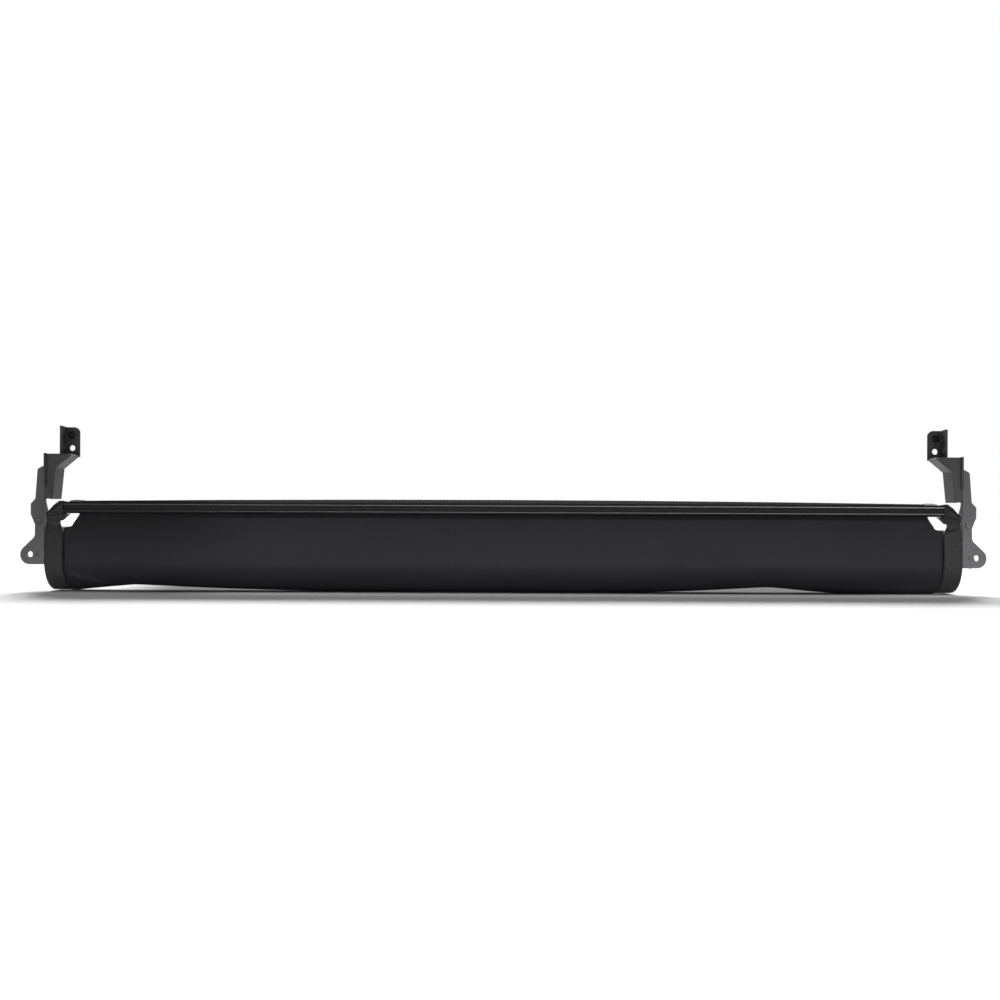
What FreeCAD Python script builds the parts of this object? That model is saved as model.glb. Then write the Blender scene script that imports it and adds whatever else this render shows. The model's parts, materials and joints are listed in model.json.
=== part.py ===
"""Spring-roller tonneau cover with two bolt-on end brackets, as a parametric FreeCAD document.

The cover winds onto a roller between the brackets, and a pull bar draws it upwards, along +Z.
Every sub-part is drawn about the roller axis: X along the roller, -Y to the front, +Z the way the bar travels.
Each is then placed so that the document's origin is midway between the lower bolt holes, on the ears' back face.
The right-hand pieces are drawn and the left-hand ones mirror them. All lengths are millimetres.
"""

import FreeCAD
import Part

import os
import Sketcher
from FreeCAD import Placement, Rotation, Vector

DOC = FreeCAD.newDocument("TonneauCover")
SHEET = DOC.addObject("Spreadsheet::Sheet", "Dimensions")
SUBPARTS = []

# Driving dimensions: alias, value, what it is.
DIMENSIONS = [
    ("roll_radius", 38.0, "outer radius of the wound edge bands"),
    ("drum_radius", 31.0, "radius that the edge bands wind on"),
    ("tube_radius", 25.0, "outer radius of the roller tube"),
    ("tube_wall", 1.2, "wall of the roller tube"),
    ("cover_half", 513.5, "half the width of the fabric"),
    ("band_width", 22.0, "width of an edge band"),
    ("wall_face", 545.0, "inner face of a bracket wall, from the middle"),
    ("wall_gauge", 3.0, "thickness of a bracket wall"),
    ("plate_gauge", 2.5, "thickness of the bracket plate and the channel's walls"),
    ("plate_front", -16.0, "front face of the bracket plate"),
    ("ear_base", -7.4, "lower edge of the lower ear"),
    ("ear_reach", 573.2, "outer end of the lower ear"),
    ("ear_height", 4.5, "height of the lower ear's hole above the roller axis"),
    ("ear_hole_x", 561.4, "lower ear's hole, from the middle"),
    ("bolt_radius", 3.5, "clearance hole for an M6 bolt"),
    ("plate_top", 109.0, "upper end of the bracket plate"),
    ("shaft_radius", 5.0, "radius of the mandrel and of the idler journal"),
    ("hub_radius", 7.0, "bore of a drum's hub"),
    ("running_gap", 0.04, "radial clearance of a running fit"),
    ("channel_face", 532.0, "inner face of the guide channel, from the middle"),
    ("channel_foot", 70.0, "lower end of the guide channel"),
    ("shelf_height", 124.0, "top of the guide channel"),
    ("upper_ear_back", 14.0, "back face of the upper ear"),
    ("upper_ear_reach", 513.0, "inner edge of the upper ear"),
    ("upper_ear_top", 157.0, "top of the upper ear"),
    ("upper_hole_x", 521.8, "upper ear's hole, from the middle"),
    ("upper_hole_z", 131.8, "upper ear's hole, above the roller axis"),
    ("socket_x", 522.6, "locating socket in the upper ear, from the middle"),
    ("socket_z", 147.4, "locating socket, above the roller axis"),
    ("socket_radius", 5.0, "radius of the locating socket"),
    ("socket_depth", 7.0, "depth of the locating socket"),
    ("bar_half", 512.0, "half the length of the pull bar's extrusion"),
    ("bar_foot", 53.6, "lower edge of the pull bar"),
    ("bar_height", 13.5, "height of the pull bar"),
    ("cover_plane", -38.6, "middle of the drawn cover's thickness"),
    ("cover_gauge", 0.8, "thickness of the fabric"),
    ("band_gauge", 1.6, "thickness of an edge band"),
    ("band_lead_front", -39.9, "front face of the drawn edge band"),
    ("hem_height", 59.0, "middle of the bar's hem chamber"),
    ("hem_radius", 2.2, "radius of the hem rod"),
    ("lead_half", 495.0, "half the cover's width where it enters the bar"),
    ("seal_half", 491.0, "half the length of the seal strip"),
    ("seal_crown", 4.2, "height of the seal strip at the middle"),
    ("seal_end", 1.2, "height of the seal strip at its ends"),
    ("spring_length", 171.0, "length of the torsion spring's coil"),
    ("spring_pitch", 9.0, "pitch of the torsion spring"),
    ("spring_radius", 13.0, "radius to the middle of the spring wire"),
    ("spring_wire", 1.1, "radius of the spring wire"),
]


class Size:
    """A length together with the sheet expression that drives it."""

    def __init__(self, value, text=None):
        self.value = float(value)
        self.text = text or repr(float(value))

    @staticmethod
    def of(other):
        return other if isinstance(other, Size) else Size(other)

    def joined(self, sign, other, value):
        return Size(value, f"({self.text} {sign} {other.text})")

    def __add__(self, other):
        other = Size.of(other)
        return self.joined("+", other, self.value + other.value)

    def __sub__(self, other):
        other = Size.of(other)
        return self.joined("-", other, self.value - other.value)

    def __mul__(self, other):
        other = Size.of(other)
        return self.joined("*", other, self.value * other.value)

    def __rsub__(self, other):
        return Size.of(other) - self

    def __neg__(self):
        return Size(0) - self

    __radd__ = __add__
    __rmul__ = __mul__


def fill_sheet():
    """Writes the driving dimensions to the sheet and returns them as sizes."""
    sizes = {}
    for row, (alias, value, meaning) in enumerate(DIMENSIONS, start=1):
        SHEET.set(f"A{row}", meaning)
        SHEET.set(f"B{row}", str(value))
        SHEET.setAlias(f"B{row}", alias)
        sizes[alias] = Size(value, f"Dimensions.{alias}")
    DOC.recompute()
    return sizes


D = fill_sheet()
WALL_BACK = D["wall_face"] + D["wall_gauge"]
PLATE_BACK = D["plate_front"] + D["plate_gauge"]
BAND_INNER = D["cover_half"] + 0.5
BAND_OUTER = BAND_INNER + D["band_width"]
BAR_TOP = D["bar_foot"] + D["bar_height"]
TUBE_BORE = D["tube_radius"] - D["tube_wall"]
BAND_LEAD_BACK = D["band_lead_front"] + D["band_gauge"]
AXIS_SHIFT = Vector(0, -PLATE_BACK.value, -D["ear_height"].value)


# ---------------------------------------------------------------- helpers


def bind(thing, name, size):
    """Drives a property of a document object from the sheet."""
    thing.setExpression(name, Size.of(size).text)


def finished(thing, label):
    """Names a sub-part, puts it in its place and keeps it for export."""
    thing.Label = label
    thing.Placement = Placement(AXIS_SHIFT, Rotation()).multiply(thing.Placement)
    SUBPARTS.append(thing)
    return thing


def mirrored(source, label):
    """The left-hand copy of a placed right-hand sub-part."""
    copy = DOC.addObject("Part::Mirroring", label)
    copy.Source = source
    copy.Base = Vector(0, 0, 0)
    copy.Normal = Vector(1, 0, 0)
    copy.Label = label
    SUBPARTS.append(copy)
    return copy


def both_sides(build, name):
    """Builds right_NAME and its mirror image left_NAME."""
    right = finished(build(f"right_{name}_shape"), f"right_{name}")
    mirrored(right, f"left_{name}")


def new_body(name):
    return DOC.addObject("PartDesign::Body", name)


def new_sketch(body, role, offset):
    """A sketch on one of the body's own origin planes, moved along the plane's normal."""
    plane = next(f for f in body.Origin.OriginFeatures if f.Role == role)
    sketch = body.newObject("Sketcher::SketchObject", f"{body.Name}_sketch")
    sketch.AttachmentSupport = [(plane, "")]
    sketch.MapMode = "FlatFace"
    bind(sketch, "AttachmentOffset.Base.z", offset)
    return sketch


def pin_point(sketch, geometry, point, x, y):
    """Holds a sketch point at x, y from the sketch's origin, driven by the sheet."""
    for kind, size in (("DistanceX", Size.of(x)), ("DistanceY", Size.of(y))):
        index = sketch.addConstraint(Sketcher.Constraint(kind, -1, 1, geometry, point, size.value))
        sketch.setExpression(f"Constraints[{index}]", size.text)


def draw_polygon(sketch, corners):
    """A closed polygon whose corners are driven by the sheet."""
    corners = [(Size.of(x), Size.of(y)) for x, y in corners]
    first = sketch.GeometryCount
    count = len(corners)
    for i, (x, y) in enumerate(corners):
        next_x, next_y = corners[(i + 1) % count]
        start = Vector(x.value, y.value, 0)
        end = Vector(next_x.value, next_y.value, 0)
        sketch.addGeometry(Part.LineSegment(start, end), False)
    for i, (x, y) in enumerate(corners):
        sketch.addConstraint(Sketcher.Constraint("Coincident", first + i, 2, first + (i + 1) % count, 1))
        pin_point(sketch, first + i, 1, x, y)


def draw_circle(sketch, x, y, radius):
    x, y, radius = Size.of(x), Size.of(y), Size.of(radius)
    circle = Part.Circle(Vector(x.value, y.value, 0), Vector(0, 0, 1), radius.value)
    index = sketch.addGeometry(circle, False)
    pin_point(sketch, index, 3, x, y)
    held = sketch.addConstraint(Sketcher.Constraint("Radius", index, radius.value))
    sketch.setExpression(f"Constraints[{held}]", radius.text)


def add_pad(body, sketch, length):
    pad = body.newObject("PartDesign::Pad", "Pad")
    pad.Profile = sketch
    bind(pad, "Length", length)
    return pad


def cut_pocket(body, sketch, length):
    """Pockets on both sides of the sketch, and checks that material went."""
    DOC.recompute()
    before = body.Shape.Volume
    pocket = body.newObject("PartDesign::Pocket", "Pocket")
    pocket.Profile = sketch
    bind(pocket, "Length", length)
    pocket.Midplane = True
    DOC.recompute()
    if body.Shape.Volume > before - 1e-6:
        raise RuntimeError(f"{pocket.Name} in {body.Name} cut nothing")
    return pocket


def pad_front(body, back, front, corners, circles=()):
    """A plate seen from the front: an X-Z outline that is solid from y = front to y = back."""
    sketch = new_sketch(body, "XZ_Plane", -back)
    draw_polygon(sketch, corners)
    for x, y, radius in circles:
        draw_circle(sketch, x, y, radius)
    return add_pad(body, sketch, back - front)


def pad_side(body, start, end, corners, circles=()):
    """A plate seen from the side: a Y-Z outline that is solid from x = start to x = end."""
    sketch = new_sketch(body, "YZ_Plane", start)
    draw_polygon(sketch, corners)
    for x, y, radius in circles:
        draw_circle(sketch, x, y, radius)
    return add_pad(body, sketch, end - start)


def drill_front(body, middle, depth, circles):
    """Round pockets along Y, over half of depth on each side of y = middle."""
    sketch = new_sketch(body, "XZ_Plane", -middle)
    for x, y, radius in circles:
        draw_circle(sketch, x, y, radius)
    return cut_pocket(body, sketch, depth)


def drill_side(body, middle, depth, circles):
    """Round pockets along X, over half of depth on each side of x = middle."""
    sketch = new_sketch(body, "YZ_Plane", middle)
    for x, y, radius in circles:
        draw_circle(sketch, x, y, radius)
    return cut_pocket(body, sketch, depth)


def round_corners(body, along, corners, radius):
    """Fillets the straight edges that run along an axis through the given points of the outline."""
    DOC.recompute()
    base = body.Tip
    names = []
    for index, edge in enumerate(base.Shape.Edges, start=1):
        if edge.Curve.TypeId != "Part::GeomLine":
            continue
        direction = edge.Vertexes[-1].Point - edge.Vertexes[0].Point
        direction.normalize()
        if abs(direction.dot(along)) < 0.999:
            continue
        middle = edge.CenterOfMass
        flat = (middle.x, middle.z) if abs(along.y) > 0.5 else (middle.y, middle.z)
        if any(abs(flat[0] - x) + abs(flat[1] - y) < 0.02 for x, y in corners):
            names.append(f"Edge{index}")
    if not names:
        raise RuntimeError(f"{body.Name} has no edge at {corners}")
    fillet = body.newObject("PartDesign::Fillet", "Fillet")
    fillet.Base = (base, names)
    fillet.Radius = radius
    return fillet


def rod(name, radius, start, end, y=0.0, z=0.0):
    """A round bar along X, from x = start to x = end."""
    start, end = Size.of(start), Size.of(end)
    cylinder = DOC.addObject("Part::Cylinder", name)
    cylinder.Placement = Placement(Vector(start.value, 0, 0), Rotation(Vector(0, 1, 0), 90))
    bind(cylinder, "Radius", radius)
    bind(cylinder, "Height", end - start)
    for axis, size in (("x", start), ("y", y), ("z", z)):
        bind(cylinder, f"Placement.Base.{axis}", size)
    return cylinder


def fused(name, shapes):
    fuse = DOC.addObject("Part::MultiFuse", name)
    fuse.Shapes = shapes
    fuse.Refine = True
    return fuse


def cut(name, base, tool):
    result = DOC.addObject("Part::Cut", name)
    result.Base = base
    result.Tool = tool
    return result


def ring(name, inner, outer, start, end, y=0.0, z=0.0):
    """A tube along X."""
    wall = rod(f"{name}_outside", outer, start, end, y, z)
    bore = rod(f"{name}_bore", inner, Size.of(start) - 1, Size.of(end) + 1, y, z)
    return cut(f"{name}_tube", wall, bore)


# ---------------------------------------------------------------- brackets


CHANNEL_DRAFT = 3.6
LIP_CENTRE = (-12.0, 75.2)
LIP_RADIUS = 4.7
RIVET_RADIUS = 2.0
CHANNEL_RIVETS = [(-5.0, 92.0), (-5.0, 102.0)]
CARRIER_RIVET = (WALL_BACK + 3.8, 43.7)


def bracket_plate(name):
    """Bent steel plate: a face with the lower ear, and a wall that carries the roller."""
    body = new_body(name)
    waist, bump, neck = WALL_BACK + 8, WALL_BACK + 13, WALL_BACK + 7.5
    ear_top, waist_low, waist_high = 9.0, 25.5, 40.0
    bump_low, bump_high, neck_low = 52.0, 64.5, 70.5
    outline = [
        (D["wall_face"], D["ear_base"]),
        (D["ear_reach"], D["ear_base"]),
        (D["ear_reach"], ear_top),
        (waist, waist_low),
        (waist, waist_high),
        (bump, bump_low),
        (bump, bump_high),
        (neck, neck_low),
        (WALL_BACK + 5, D["plate_top"] - 3),
        (WALL_BACK - 1, D["plate_top"]),
        (D["wall_face"], D["plate_top"]),
    ]
    pad_front(body, PLATE_BACK, D["plate_front"], outline)
    front = D["plate_front"]
    wall_outline = [
        (front, D["ear_base"]),
        (-5.0, D["ear_base"]),
        (-5.0, -17.0),
        (13.0, -17.0),
        (18.0, -8.0),
        (18.0, 20.0),
        (-1.0, 42.0),
        (-1.0, 54.0),
        (-9.0, 67.0),
        (-9.0, 78.0),
        (2.0, 86.0),
        (2.0, D["plate_top"]),
        (front, D["plate_top"]),
    ]
    pad_side(body, D["wall_face"], WALL_BACK, wall_outline)
    reach, base = D["ear_reach"].value, D["ear_base"].value
    depth = Vector(0, 1, 0)
    round_corners(body, depth, [(reach, base), (reach, ear_top)], 11.2)
    round_corners(body, depth, [(waist.value, waist_low)], 9.0)
    round_corners(body, depth, [(waist.value, waist_high), (bump.value, bump_low)], 8.0)
    round_corners(body, depth, [(bump.value, bump_high), (neck.value, neck_low)], 3.0)
    round_corners(body, depth, [(WALL_BACK.value + 5, D["plate_top"].value - 3)], 4.0)
    across = Vector(1, 0, 0)
    round_corners(body, across, [(18.0, -8.0), (18.0, 20.0), (-1.0, 42.0), (-1.0, 54.0), (-9.0, 67.0)], 5.0)
    sketch = new_sketch(body, "XZ_Plane", -PLATE_BACK)
    draw_circle(sketch, D["ear_hole_x"], D["ear_height"], D["bolt_radius"])
    draw_circle(sketch, *CARRIER_RIVET, RIVET_RADIUS)
    cut_pocket(body, sketch, D["plate_gauge"] * 3)
    drill_side(body, WALL_BACK, D["wall_gauge"] * 3, [(y, z, RIVET_RADIUS) for y, z in CHANNEL_RIVETS])
    return body


def right_bracket_plate(name):
    """The right plate, whose wall has a round seat for the idler bush."""
    body = bracket_plate(name)
    sketch = new_sketch(body, "YZ_Plane", D["wall_face"])
    index = sketch.addGeometry(Part.Circle(Vector(0, 0, 0), Vector(0, 0, 1), D["hub_radius"].value), False)
    sketch.addConstraint(Sketcher.Constraint("Coincident", index, 3, -1, 1))
    held = sketch.addConstraint(Sketcher.Constraint("Radius", index, D["hub_radius"].value))
    sketch.setExpression(f"Constraints[{held}]", D["hub_radius"].text)
    cut_pocket(body, sketch, D["wall_gauge"] * 4)
    emboss_plate(body)
    return body


def emboss_plate(body):
    """The small locating dimple beside the lower bolt hole."""
    DOC.recompute()
    sketch = new_sketch(body, "XZ_Plane", -D["plate_front"])
    draw_circle(sketch, D["ear_hole_x"] - 9.6, D["ear_height"] - 0.4, 2.3)
    dimple = cut_pocket(body, sketch, 2.0)
    body.Tip = dimple


def guide_channel(name):
    """Cast channel above the roller's end, with a sloping neck and the upper ear."""
    body = new_body(name)
    face, foot, shelf = D["channel_face"], D["channel_foot"], D["shelf_height"]
    gauge, front = D["plate_gauge"], D["plate_front"]
    ear_back, reach = D["upper_ear_back"], D["upper_ear_reach"]
    ear_front = ear_back - gauge
    outer = D["wall_face"]
    web = [
        (face + CHANNEL_DRAFT, foot),
        (face + CHANNEL_DRAFT + gauge, foot),
        (face + gauge, shelf - 16.2),
        (reach + 3.4, shelf),
        (reach, shelf - 1.6),
        (face, shelf - 17.4),
    ]
    pad_front(body, ear_back, front, web)
    face_outline = [
        (outer, shelf),
        (reach + 4.0, shelf),
        (reach + 4.0, shelf - 2.2),
        (face + 1.0, shelf - 16.2),
        (face + CHANNEL_DRAFT, 80.0),
        (outer, 82.0),
    ]
    pad_front(body, front + gauge, front, face_outline)
    shelf_outline = [(front, shelf - gauge), (ear_back, shelf - gauge), (ear_back, shelf), (front, shelf)]
    pad_side(body, reach + 3.4, outer, shelf_outline)
    outer_web = [(front, 82.0), (7.0, 82.0), (7.0, shelf), (front, shelf)]
    pad_side(body, outer - gauge, outer, outer_web)
    rib = [(front - 2.6, 86.0), (front + 1, 86.0), (front + 1, shelf + 0.6), (front - 2.6, shelf + 0.6)]
    pad_side(body, outer - gauge, outer, rib)
    ear_outline = [
        (reach, shelf - 3.0),
        (face - 0.9, shelf - 3.0),
        (face - 0.9, D["upper_ear_top"]),
        (reach, D["upper_ear_top"]),
    ]
    pad_front(body, ear_back, ear_front, ear_outline)
    flange = [
        (-4.5, shelf - 1.5),
        (ear_back, shelf - 1.5),
        (ear_back, D["upper_ear_top"]),
        (-4.5, D["upper_ear_top"] + 1.0),
    ]
    pad_side(body, face - 3.4, face - 0.9, flange)
    round_corners(body, Vector(0, 1, 0), [(reach.value, D["upper_ear_top"].value)], 6.5)
    round_corners(body, Vector(1, 0, 0), [(front.value - 2.6, 86.0)], 2.5)
    socket = new_sketch(body, "XZ_Plane", -(ear_back + D["socket_depth"]))
    draw_circle(socket, D["socket_x"], D["socket_z"], D["socket_radius"] + 1.8)
    add_pad(body, socket, D["socket_depth"] + gauge + 1.0)
    socket_floor = ear_back + D["socket_depth"] - 1.5
    bottom = ear_front - 1.0 - socket_floor
    drill_front(body, socket_floor + bottom, bottom * -2, [(D["socket_x"], D["socket_z"], D["socket_radius"])])
    drill_front(body, ear_back, gauge * 4, [(D["upper_hole_x"], D["upper_hole_z"], D["bolt_radius"])])
    drill_side(body, outer, gauge * 2 + 1, [(y, z, RIVET_RADIUS) for y, z in CHANNEL_RIVETS])
    add_guide_lip(body, face + CHANNEL_DRAFT)
    return body


def add_guide_lip(body, start):
    """The rounded lip across the channel's foot and the web above it, which rises outwards."""
    sketch = new_sketch(body, "YZ_Plane", start)
    draw_circle(sketch, LIP_CENTRE[0], LIP_CENTRE[1], LIP_RADIUS)
    add_pad(body, sketch, D["wall_face"] - start)
    low = LIP_CENTRE[1]
    web = [
        (start, low),
        (D["wall_face"], low),
        (D["wall_face"], low + 11.5),
        (D["wall_face"] - 3.5, low + 9.5),
        (start, low + 3.5),
    ]
    body.Tip = pad_front(body, LIP_CENTRE[0], D["plate_front"] - 0.6, web)


def bearing_carrier(name):
    """Block behind the plate that takes the shaft's load from the wall."""
    body = new_body(name)
    outline = [
        (WALL_BACK, -7.5),
        (WALL_BACK + 11.5, -7.5),
        (WALL_BACK + 11.5, 10.0),
        (WALL_BACK + 7.0, 22.0),
        (WALL_BACK + 7.0, 49.0),
        (WALL_BACK, 49.0),
    ]
    pad_front(body, 12.0, PLATE_BACK, outline)
    round_corners(body, Vector(0, 1, 0), [(WALL_BACK.value + 11.5, -7.5)], 3.0)
    drill_front(body, PLATE_BACK, 60.0, [(*CARRIER_RIVET, RIVET_RADIUS)])
    return body


def right_bearing_carrier(name):
    """The right carrier, bored for the idler bush."""
    body = bearing_carrier(name)
    sketch = new_sketch(body, "YZ_Plane", WALL_BACK)
    index = sketch.addGeometry(Part.Circle(Vector(0, 0, 0), Vector(0, 0, 1), D["hub_radius"].value), False)
    sketch.addConstraint(Sketcher.Constraint("Coincident", index, 3, -1, 1))
    held = sketch.addConstraint(Sketcher.Constraint("Radius", index, D["hub_radius"].value))
    sketch.setExpression(f"Constraints[{held}]", D["hub_radius"].text)
    cut_pocket(body, sketch, 30.0)
    return body


def carrier_rivet(name):
    """Rivet with a low dished head, which holds the carrier to the plate."""
    x, z = CARRIER_RIVET
    shank = DOC.addObject("Part::Cylinder", f"{name}_shank")
    bind(shank, "Radius", RIVET_RADIUS)
    bind(shank, "Height", 28.8)
    head = DOC.addObject("Part::Cone", f"{name}_head")
    bind(head, "Radius1", 4.3)
    bind(head, "Radius2", 3.6)
    bind(head, "Height", 1.0)
    tail = DOC.addObject("Part::Cylinder", f"{name}_tail")
    bind(tail, "Radius", 3.4)
    bind(tail, "Height", 1.2)
    dish = DOC.addObject("Part::Sphere", f"{name}_dish")
    bind(dish, "Radius", 8.0)
    turn = Rotation(Vector(1, 0, 0), 90)
    dish_centre = D["plate_front"] - 8.4
    for piece, y in ((shank, Size(12.5)), (head, D["plate_front"]), (tail, Size(13.2)), (dish, dish_centre)):
        piece.Placement = Placement(Vector(x.value, y.value, z), turn)
        bind(piece, "Placement.Base.x", x)
        bind(piece, "Placement.Base.y", y)
    return cut(f"{name}_dished", fused(name, [shank, head, tail]), dish)


def channel_rivets(name):
    """Two rivets through the channel's outer web and the bracket wall."""
    rivets = []
    inner = D["wall_face"] - D["plate_gauge"]
    for i, (y, z) in enumerate(CHANNEL_RIVETS):
        shank = rod(f"{name}_shank{i}", RIVET_RADIUS, inner - 1, WALL_BACK + 1, y, z)
        inside = rod(f"{name}_inside{i}", 3.4, inner - 1.4, inner, y, z)
        outside = rod(f"{name}_outside{i}", 3.4, WALL_BACK, WALL_BACK + 1.4, y, z)
        rivets.append(fused(f"{name}_{i}", [shank, inside, outside]))
    group = DOC.addObject("Part::Compound", name)
    group.Links = rivets
    return group


def build_brackets():
    right_plate = finished(right_bracket_plate("right_plate_shape"), "right_bracket_plate")
    right_carrier = finished(right_bearing_carrier("right_carrier_shape"), "right_bearing_carrier")
    left_plate = keyed(bracket_plate("left_plate_shape"), "left_plate")
    left_carrier = keyed(bearing_carrier("left_carrier_shape"), "left_carrier")
    mirrored_hand(left_plate, "left_bracket_plate")
    mirrored_hand(left_carrier, "left_bearing_carrier")
    both_sides(guide_channel, "guide_channel")
    both_sides(carrier_rivet, "carrier_rivet")
    both_sides(channel_rivets, "channel_rivets")
    return right_plate, right_carrier


def keyed(body, name):
    """Cuts the square seat that stops the spring mandrel from turning."""
    if name == "left_plate":
        emboss_plate(body)
    key = DOC.addObject("Part::Box", f"{name}_key")
    side = D["shaft_radius"] * 1.4
    bind(key, "Length", 40.0)
    bind(key, "Width", side)
    bind(key, "Height", side)
    bind(key, "Placement.Base.x", D["wall_face"] - 5)
    bind(key, "Placement.Base.y", side * -0.5)
    bind(key, "Placement.Base.z", side * -0.5)
    return cut(f"{name}_keyed", body, key)


def mirrored_hand(source, label):
    """A left-hand sub-part drawn on the right: only its mirror image is kept."""
    source.Placement = Placement(AXIS_SHIFT, Rotation())
    mirrored(source, label)


# ---------------------------------------------------------------- roller


def band_drum(name):
    """Moulded drum that plugs into the tube's end and carries a wound edge band."""
    body = new_body(name)
    rim, shoulder = D["drum_radius"], BAND_INNER + 2.5
    hub_outer, hub_end = D["hub_radius"] + 3.0, BAND_OUTER + 7.0
    spigot_inner, spigot_end = TUBE_BORE - 2.4, BAND_INNER - 30.0
    profile = [
        (spigot_end, spigot_inner),
        (spigot_end, TUBE_BORE),
        (D["cover_half"] - 0.5, TUBE_BORE),
        (D["cover_half"] - 0.5, D["tube_radius"] + 1.5),
        (BAND_INNER, D["tube_radius"] + 1.5),
        (BAND_INNER, rim),
        (BAND_OUTER, rim),
        (BAND_OUTER, rim - 2.5),
        (shoulder + 3.5, rim - 2.5),
        (shoulder + 3.5, hub_outer),
        (hub_end, hub_outer),
        (hub_end, D["hub_radius"]),
        (BAND_INNER - 12.0, D["hub_radius"]),
        (BAND_INNER - 12.0, hub_outer),
        (shoulder, hub_outer),
        (shoulder, spigot_inner),
    ]
    sketch = new_sketch(body, "XZ_Plane", 0)
    draw_polygon(sketch, profile)
    turned = body.newObject("PartDesign::Revolution", "Revolution")
    turned.Profile = sketch
    turned.ReferenceAxis = (sketch, ["H_Axis"])
    turned.Angle = 360.0
    hole = new_sketch(body, "YZ_Plane", shoulder)
    draw_circle(hole, 16.5, 0, 4.2)
    pocket = cut_pocket(body, hole, 20.0)
    pattern = body.newObject("PartDesign::PolarPattern", "PolarPattern")
    pattern.Originals = [pocket]
    pattern.Axis = (hole, ["N_Axis"])
    pattern.Angle = 360.0
    pattern.Occurrences = 6
    body.Tip = pattern
    return body


def band_coil(name):
    """The edge band as it is wound on its drum."""
    return ring(name, D["drum_radius"], D["roll_radius"], BAND_INNER, BAND_OUTER)


def build_roller():
    """The tube, what is wound on it, and what turns with it."""
    half_tube = D["cover_half"] - 0.5
    tube = ring("tube", TUBE_BORE, D["tube_radius"], -half_tube, half_tube)
    finished(tube, "roller_tube")
    both_sides(band_drum, "band_drum")
    both_sides(band_coil, "edge_band_coil")
    wound = ring("wound", D["drum_radius"] + 0.2, D["roll_radius"] - 0.3, -D["cover_half"], D["cover_half"])
    finished(wound, "fabric_roll")
    strip = new_body("strip_shape")
    low, half = D["tube_radius"] + 0.05, D["cover_half"] - 12
    pad_side(strip, -half, half, [(-4.5, low), (4.5, low), (4.5, low + 2.4), (-4.5, low + 2.4)])
    finished(strip, "fabric_anchor_strip")


def build_right_journal():
    """The idler pin, pressed into the right drum, and the fixed bush it turns in."""
    step = BAND_OUTER + 5.0
    groove = WALL_BACK + 12.9
    shoulder = rod("idler_shoulder", D["hub_radius"], BAND_INNER - 8, step)
    journal = rod("idler_journal", D["shaft_radius"], step, groove)
    neck = rod("idler_neck", D["shaft_radius"] - 0.8, groove, groove + 1.1)
    tip = rod("idler_tip", D["shaft_radius"], groove + 1.1, groove + 3)
    finished(fused("idler", [shoulder, journal, neck, tip]), "idler_pin")
    bore = D["shaft_radius"] + D["running_gap"]
    sleeve = rod("bush_sleeve", D["hub_radius"], D["wall_face"], WALL_BACK + 11.5)
    collar = rod("bush_collar", D["hub_radius"] + 2.5, D["wall_face"] - 1.2, D["wall_face"])
    hole = rod("bush_hole", bore, D["wall_face"] - 5, WALL_BACK + 20)
    finished(cut("bush", fused("bush_outside", [sleeve, collar]), hole), "idler_bush")
    washer = ring("washer", bore, D["hub_radius"] + 2.0, groove - 1.0, groove)
    finished(washer, "idler_washer")
    retaining_clip("right_clip", groove, 1, "idler_retaining_clip")


def retaining_clip(name, groove, side, label):
    """E-clip in a groove of the shaft: a ring with an open mouth."""
    low, high = (groove + 0.1, groove + 1.0)
    neck, outer = D["shaft_radius"] - 0.8, D["shaft_radius"] + 3.2
    start, end = (low, high) if side > 0 else (-high, -low)
    clip = ring(name, neck, outer, start, end)
    mouth = DOC.addObject("Part::Box", f"{name}_mouth")
    bind(mouth, "Length", 4.0)
    bind(mouth, "Width", neck * 1.6)
    bind(mouth, "Height", 20.0)
    bind(mouth, "Placement.Base.x", start - 1)
    bind(mouth, "Placement.Base.y", neck * -0.8)
    bind(mouth, "Placement.Base.z", -20.0)
    finished(cut(f"{name}_open", clip, mouth), label)


def build_spring():
    """The fixed mandrel at the left, the torsion spring round it, and its two anchors."""
    wall_end, groove = -(WALL_BACK + 11.5), WALL_BACK + 11.6
    mandrel_end = Size(-285.0)
    shaft = rod("mandrel_shaft", D["shaft_radius"], -(D["wall_face"] - 0.4), mandrel_end)
    key = DOC.addObject("Part::Box", "mandrel_key")
    side = D["shaft_radius"] * 1.38
    bind(key, "Length", WALL_BACK + 11.5 - (D["wall_face"] - 1))
    bind(key, "Width", side)
    bind(key, "Height", side)
    bind(key, "Placement.Base.x", -(WALL_BACK + 11.5))
    bind(key, "Placement.Base.y", side * -0.5)
    bind(key, "Placement.Base.z", side * -0.5)
    stub = rod("mandrel_stub", D["shaft_radius"] - 0.8, -(groove + 1.1), wall_end)
    tip = rod("mandrel_tip", D["shaft_radius"], -(groove + 3), -(groove + 1.1))
    finished(fused("mandrel", [shaft, key, stub, tip]), "spring_mandrel")
    retaining_clip("left_clip", groove, -1, "mandrel_retaining_clip")
    bore = D["shaft_radius"] + D["running_gap"]
    hub_bush = ring("hub_bush", bore, D["hub_radius"], -(BAND_OUTER + 7), -(BAND_INNER - 12))
    finished(hub_bush, "mandrel_bush")
    coil_start = -(BAND_INNER - 45)
    drive = ring("drive", bore, TUBE_BORE, coil_start - 12, coil_start - 1.4)
    finished(drive, "spring_drive_plug")
    coil_end = coil_start + D["spring_length"]
    anchor = ring("anchor", D["shaft_radius"], D["spring_radius"] + 3, coil_end + 1.1, coil_end + 12)
    finished(anchor, "spring_anchor")
    finished(torsion_spring(coil_start), "torsion_spring")


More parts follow.
